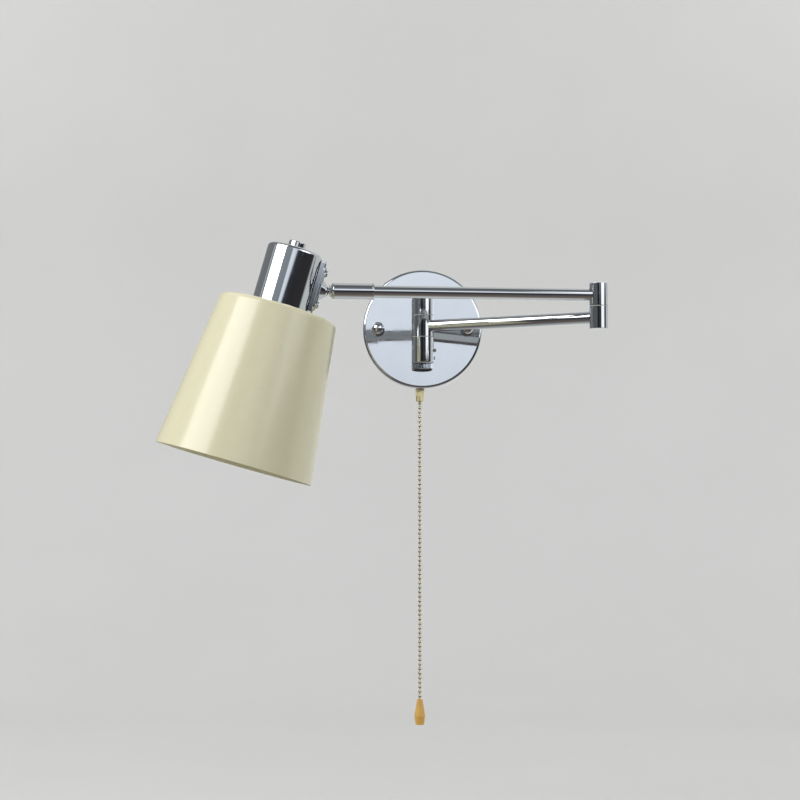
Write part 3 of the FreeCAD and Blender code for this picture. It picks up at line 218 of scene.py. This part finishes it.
# dull finishes: two close colours, and one grain in roughness and relief; grain and depth in mm
plastics = {
    # stove enamel on spun steel: warm cream, semi-gloss, faint orange peel
    "creamEnamel": dict(
        slot="shade_paint", colour="#E4DEBD", shade="#E2DCBA", rough=(0.2, 0.28), grain=1.1,
        depth=0.006, more={"IOR": 1.5, "Coat Weight": 0.3, "Coat Roughness": 0.12},
    ),
    # phenolic resin: near black, polished by the mould
    "phenolicResin": dict(
        slot="black_resin", colour="#151516", shade="#1B1A1A", rough=(0.2, 0.34), grain=0.8,
        depth=0.006, more={"IOR": 1.6},
    ),
    # natural nylon: milky, slightly waxy
    "naturalNylon": dict(
        slot="white_nylon", colour="#E4E3DC", shade="#DAD8CF", rough=(0.4, 0.55), grain=0.9,
        depth=0.01, more={"IOR": 1.53, "Subsurface Weight": 0.1, "Subsurface Scale": 0.001},
    ),
    # silicone insulation: white, soft, dusty
    "siliconeSleeve": dict(
        slot="lead_sleeve", colour="#DEDEDA", shade="#D3D2CC", rough=(0.5, 0.65), grain=0.6,
        depth=0.008, more={"IOR": 1.42},
    ),
    # bulb's base: moulded polycarbonate, satin white
    "lampPolycarbonate": dict(
        slot="lamp_base", colour="#ECECEA", shade="#E6E6E3", rough=(0.3, 0.4), grain=0.7,
        depth=0.006, more={"IOR": 1.58},
    ),
    # bulb's dome: opal polycarbonate that scatters its light
    "opalDome": dict(
        slot="diffuser", colour="#F4F2EC", shade="#EFEDE6", rough=(0.35, 0.45), grain=0.9,
        depth=0.004, more={"IOR": 1.58, "Subsurface Weight": 0.3, "Subsurface Scale": 0.003},
    ),
}


def makeFinish(name, colours, patterns, finish):
    # three noises of their own size and detail: one moves the roughness between its two ends, one
    # blends the two colours, and one is the relief
    material, tree, place = newMaterial(name)
    rough, tone, relief = [
        addNode(
            tree,
            "ShaderNodeTexNoise",
            {"Scale": perMetre(size), "Detail": detail, "Vector": place, **noiseGrain},
        ).outputs[0]
        for size, detail in patterns
    ]
    low, high = finish["rough"]
    rough = addNode(
        tree, "ShaderNodeMapRange", {"Value": rough, "To Min": low, "To Max": high, **noiseSpan}
    ).outputs[0]
    tone = addNode(tree, "ShaderNodeMapRange", {"Value": tone, **noiseSpan}).outputs[0]
    colour = addNode(
        tree, "ShaderNodeMix", {"Factor": tone, 6: colours[0], 7: colours[1]}, data_type="RGBA"
    ).outputs[2]
    depth = finish["depth"] * mm
    if "lean" in finish:
        # a face that stands a little off upright turns what it mirrors by twice that angle
        rise = addNode(tree, "ShaderNodeSeparateXYZ", {"Vector": place}).outputs[2]
        slope = -math.tan(math.radians(finish["lean"])) / depth
        relief = addNode(
            tree, "ShaderNodeMath", {0: rise, 1: slope, 2: relief}, operation="MULTIPLY_ADD"
        ).outputs[0]
    normal = addNode(
        tree, "ShaderNodeBump", {"Height": relief, "Strength": 1.0, "Distance": depth}
    ).outputs[0]
    shader = addNode(
        tree,
        "ShaderNodeBsdfPrincipled",
        {"Base Color": colour, "Roughness": rough, "Normal": normal, **finish.get("more", {})},
    )
    addNode(tree, "ShaderNodeOutputMaterial", {"Surface": shader.outputs[0]})
    return material


def makeMetal(name, finish):
    base = srgb(finish["colour"])
    dull = (*[part * dullPatch for part in base[:3]], 1.0)
    wave = finish["wave"]
    patterns = ((finish["mark"], 4.0), (wave * 2, 2.0), (wave, 1.0))
    return makeFinish(name, (base, dull), patterns, {**finish, "more": {"Metallic": 1.0}})


def makePlastic(name, finish):
    colours = srgb(finish["colour"]), srgb(finish["shade"])
    grain = finish["grain"]
    return makeFinish(name, colours, ((grain, 3.0), (grain * 8, 2.0), (grain, 3.0)), finish)


# lacquered beech: straight golden grain with short flecks under a clear gloss
beech = {
    "early": "#F4C468",
    "late": "#E2AC4E",
    "fleck": "#B98838",
    "grain": dict(size=1.6, detail=4.0, stretch=(1, 1, 0.12)),  # mm across, longer up the knob
    "flecks": dict(size=0.5, detail=2.0, stretch=(1, 1, 0.25)),
    "fleckShare": 0.35,
    "rough": (0.3, 0.42),
    "depth": 0.02,
    "coat": {"Coat Weight": 0.6, "Coat Roughness": 0.12},
}


def makeBeech(name):
    # long grain blends the two wood colours and moves the roughness; flecks darken and sink
    material, tree, place = newMaterial(name)
    long, fleck = [
        addNode(
            tree,
            "ShaderNodeTexNoise",
            {
                "Scale": perMetre(pattern["size"]),
                "Detail": pattern["detail"],
                "Vector": addNode(
                    tree, "ShaderNodeMapping", {"Vector": place, "Scale": pattern["stretch"]}
                ).outputs[0],
                **noiseGrain,
            },
        ).outputs[0]
        for pattern in (beech["grain"], beech["flecks"])
    ]
    low, high = beech["rough"]
    blendOf, darkOf, rough = [
        addNode(
            tree, "ShaderNodeMapRange", {"Value": source, "To Min": start, "To Max": end, **noiseSpan}
        ).outputs[0]
        for source, start, end in (
            (long, 0.0, 1.0), (fleck, 0.0, beech["fleckShare"]), (long, low, high)
        )
    ]
    wood = addNode(
        tree,
        "ShaderNodeMix",
        {"Factor": blendOf, 6: srgb(beech["early"]), 7: srgb(beech["late"])},
        data_type="RGBA",
    ).outputs[2]
    colour = addNode(
        tree, "ShaderNodeMix", {"Factor": darkOf, 6: wood, 7: srgb(beech["fleck"])}, data_type="RGBA"
    ).outputs[2]
    normal = addNode(
        tree, "ShaderNodeBump", {"Height": fleck, "Strength": 1.0, "Distance": beech["depth"] * mm}
    ).outputs[0]
    shader = addNode(
        tree,
        "ShaderNodeBsdfPrincipled",
        {"Base Color": colour, "Roughness": rough, "Normal": normal, **beech["coat"]},
    )
    addNode(tree, "ShaderNodeOutputMaterial", {"Surface": shader.outputs[0]})
    return material


finishes = {finish["slot"]: makeMetal(name, finish) for name, finish in metals.items()}
finishes.update({finish["slot"]: makePlastic(name, finish) for name, finish in plastics.items()})
finishes["knob_wood"] = makeBeech("lacqueredBeech")

for entry in frame["record"]["subparts"]:
    for meshSlot in frame["nodes"][entry["node"]].material_slots:
        meshSlot.material = finishes[entry["material_slot"]]
chainPiece.data.materials.append(finishes["gold_chain"])
canopyFace = dict(metals["chromePlate"], lean=2.7)  # degrees
canopySlot = frame["nodes"]["canopy_shell"].material_slots[0]
canopySlot.material = makeMetal("canopyChromePlate", canopyFace)
print("finishes set:", len(finishes))


# studio: a pale floor that sweeps up far behind the lamp
studio = {
    "floorHeight": -0.62,
    "back": 3.2,
    "front": -2.6,
    "half": 4.5,
    "sweep": 1.2,
    "sweepSteps": 24,
    "top": 4.0,
    "paper": "#D4D4D2",
    "paperShade": "#CFCFCD",
    "patch": 400,  # mm
    "rough": 0.9,
}


def makeBackdrop():
    # profile: flat floor, quarter circle of radius R = sweep, then upright wall
    low, back, sweep = studio["floorHeight"], studio["back"], studio["sweep"]
    turn = np.linspace(0, math.pi / 2, studio["sweepSteps"])
    y = np.concatenate([[studio["front"]], back - sweep + sweep * np.sin(turn), [back]])
    z = np.concatenate([[low], low + sweep - sweep * np.cos(turn), [studio["top"]]])
    x = np.array([-studio["half"], studio["half"]])
    points = np.stack([np.tile(x, len(y)), np.repeat(y, 2), np.repeat(z, 2)], -1)
    row = np.arange(len(y) - 1) * 2
    faces = np.stack([row, row + 1, row + 3, row + 2], -1).tolist()
    piece = meshObject("studioBackdrop", points, faces)
    piece.visible_glossy = False  # polished metal reflects the room instead
    material, tree, place = newMaterial("mattePaper")  # seamless paper: even and dull
    patch = addNode(
        tree,
        "ShaderNodeTexNoise",
        {"Scale": perMetre(studio["patch"]), "Detail": 2.0, "Vector": place, **noiseGrain},
    ).outputs[0]
    colour = addNode(
        tree,
        "ShaderNodeMix",
        {"Factor": patch, 6: srgb(studio["paper"]), 7: srgb(studio["paperShade"])},
        data_type="RGBA",
    ).outputs[2]
    shader = addNode(
        tree, "ShaderNodeBsdfPrincipled", {"Base Color": colour, "Roughness": studio["rough"]}
    )
    addNode(tree, "ShaderNodeOutputMaterial", {"Surface": shader.outputs[0]})
    piece.data.materials.append(material)


makeBackdrop()

lights = {
    # two windows that the bright metal shows as white bands
    "leftWindow": dict(
        place=(-1.36, -1.06, 1.05), aim=(-0.12, -0.18, 0.0), size=(1.5, 1.3), power=30
    ),
    "rightWindow": dict(
        place=(0.86, -0.88, 0.47), aim=(0.0, -0.1, 0.0), size=(0.8, 0.86), power=3.2
    ),
    # soft light on the paper alone
    "paperLeft": dict(place=(-2.4, 0.9, 2.2), aim=(-0.6, 3.2, 0.4), size=(1.6, 1.6), power=59),
    "paperRight": dict(place=(2.4, 0.9, 2.2), aim=(0.6, 3.2, 0.4), size=(1.6, 1.6), power=59),
}


def makeLights():
    for name, light in lights.items():
        data = bpy.data.lights.new(name, "AREA")
        data.shape = "RECTANGLE"
        data.size, data.size_y = light["size"]
        data.energy = light["power"]
        lamp = bpy.data.objects.new(name, data)
        place, aim = np.array(light["place"]), np.array(light["aim"])
        ahead = (aim - place) / np.linalg.norm(aim - place)
        lamp.location = light["place"]
        lamp.rotation_euler = (math.acos(-ahead[2]), 0, math.atan2(-ahead[0], ahead[1]))
        lamp.visible_camera = False
        lamp.visible_glossy = name.endswith("Window")
        bpy.context.scene.collection.objects.link(lamp)


makeLights()

# room: what the bright metal mirrors. Its front has two parts, each a list of colours against
# (sine of the height angle + 1) / 2: floor and furniture, eye line, window band, ceiling
room = {
    "right": [
        (0.0, "#8C857E"), (0.07, "#625954"), (0.25, "#524D4B"), (0.42, "#302E2F"), (0.5, "#29292B"),
        (0.552, "#333539"), (0.566, "#CDD3DA"), (0.59, "#DAE0E7"), (0.7, "#E6EAF0"),
        (0.75, "#7C7F84"), (0.9, "#5C5E60"), (1.0, "#5C5E60"),
    ],
    "left": [
        (0.0, "#8C857E"), (0.07, "#625954"), (0.25, "#524D4B"), (0.42, "#3A3837"), (0.5, "#4A4B4B"),
        (0.56, "#55585A"), (0.6, "#7D8286"), (0.75, "#8A8F93"), (0.8, "#6C6F73"), (0.9, "#5C5E60"),
        (1.0, "#5C5E60"),
    ],
    "seam": (-0.1, -0.03),  # sideways over forwards, from all left to all right
    "doorway": "#1C1E1C",  # a dark stretch at the eye line, straight in front
    "doorAcross": (-0.42, -0.37, 0.0, 0.06),  # begins, is full, wanes, ends: sideways over forwards
    "doorUp": (-0.06, -0.04, 0.112, 0.12),  # and against the sine of the height angle
    "behind": (-0.06, 0.1),  # from all front to all wall
    "wallLeft": "#6E7071",
    "wallRight": "#B9BBB9",
    "wallSeam": (-0.5, 0.1),
    "plain": "#A9A9A7",  # what the camera sees past the paper
    "strength": 1.5,
    "fill": 0.7,  # of the same room where it only lights dull surfaces
}


def makeRoom():
    world = bpy.data.worlds.new("studioRoom")
    bpy.context.scene.world = world
    world.use_nodes = True
    tree = world.node_tree
    tree.nodes.clear()
    way = addNode(tree, "ShaderNodeTexCoord").outputs["Generated"]
    x, y, z = addNode(tree, "ShaderNodeSeparateXYZ", {"Vector": way}).outputs
    height = addNode(tree, "ShaderNodeMapRange", {"Value": z, "From Min": -1}).outputs[0]
    parts = []
    for part in ("left", "right"):
        ramp = addNode(tree, "ShaderNodeValToRGB", {"Fac": height})
        stops = ramp.color_ramp.elements
        for stop, (position, colour) in zip(stops, (room[part][0], room[part][-1])):
            stop.position, stop.color = position, srgb(colour)
        for position, colour in room[part][1:-1]:
            stops.new(position).color = srgb(colour)
        parts.append(ramp.outputs[0])
    front = addNode(tree, "ShaderNodeMath", {0: y, 1: -1}, operation="MULTIPLY").outputs[0]
    across = addNode(tree, "ShaderNodeMath", {0: x, 1: front}, operation="DIVIDE").outputs[0]
    inDoor = 1.0
    for source, (begin, full, wane, end) in ((across, room["doorAcross"]), (z, room["doorUp"])):
        for low, high in ((begin, full), (end, wane)):
            edge = addNode(
                tree, "ShaderNodeMapRange", {"Value": source, "From Min": low, "From Max": high}
            ).outputs[0]
            inDoor = addNode(
                tree, "ShaderNodeMath", {0: inDoor, 1: edge}, operation="MULTIPLY"
            ).outputs[0]
    toRight, isBehind, wallSide = [
        addNode(
            tree, "ShaderNodeMapRange", {"Value": source, "From Min": low, "From Max": high}
        ).outputs[0]
        for source, (low, high) in (
            (across, room["seam"]), (y, room["behind"]), (x, room["wallSeam"])
        )
    ]
    wall = addNode(
        tree,
        "ShaderNodeMix",
        {"Factor": wallSide, 6: srgb(room["wallLeft"]), 7: srgb(room["wallRight"])},
        data_type="RGBA",
    ).outputs[2]
    rays = addNode(tree, "ShaderNodeLightPath").outputs
    colour = parts[0]
    for share, over in (  # each laid over the ones before it
        (toRight, parts[1]),
        (inDoor, srgb(room["doorway"])),
        (isBehind, wall),
        (rays["Is Camera Ray"], srgb(room["plain"])),
    ):
        colour = addNode(
            tree, "ShaderNodeMix", {"Factor": share, 6: colour, 7: over}, data_type="RGBA"
        ).outputs[2]
    strength = addNode(
        tree,
        "ShaderNodeMapRange",
        {"Value": rays["Is Diffuse Ray"], "To Min": room["strength"], "To Max": room["fill"]},
    ).outputs[0]
    sky = addNode(tree, "ShaderNodeBackground", {"Color": colour, "Strength": strength})
    addNode(tree, "ShaderNodeOutputWorld", {"Surface": sky.outputs[0]})


makeRoom()
print("studio lit")
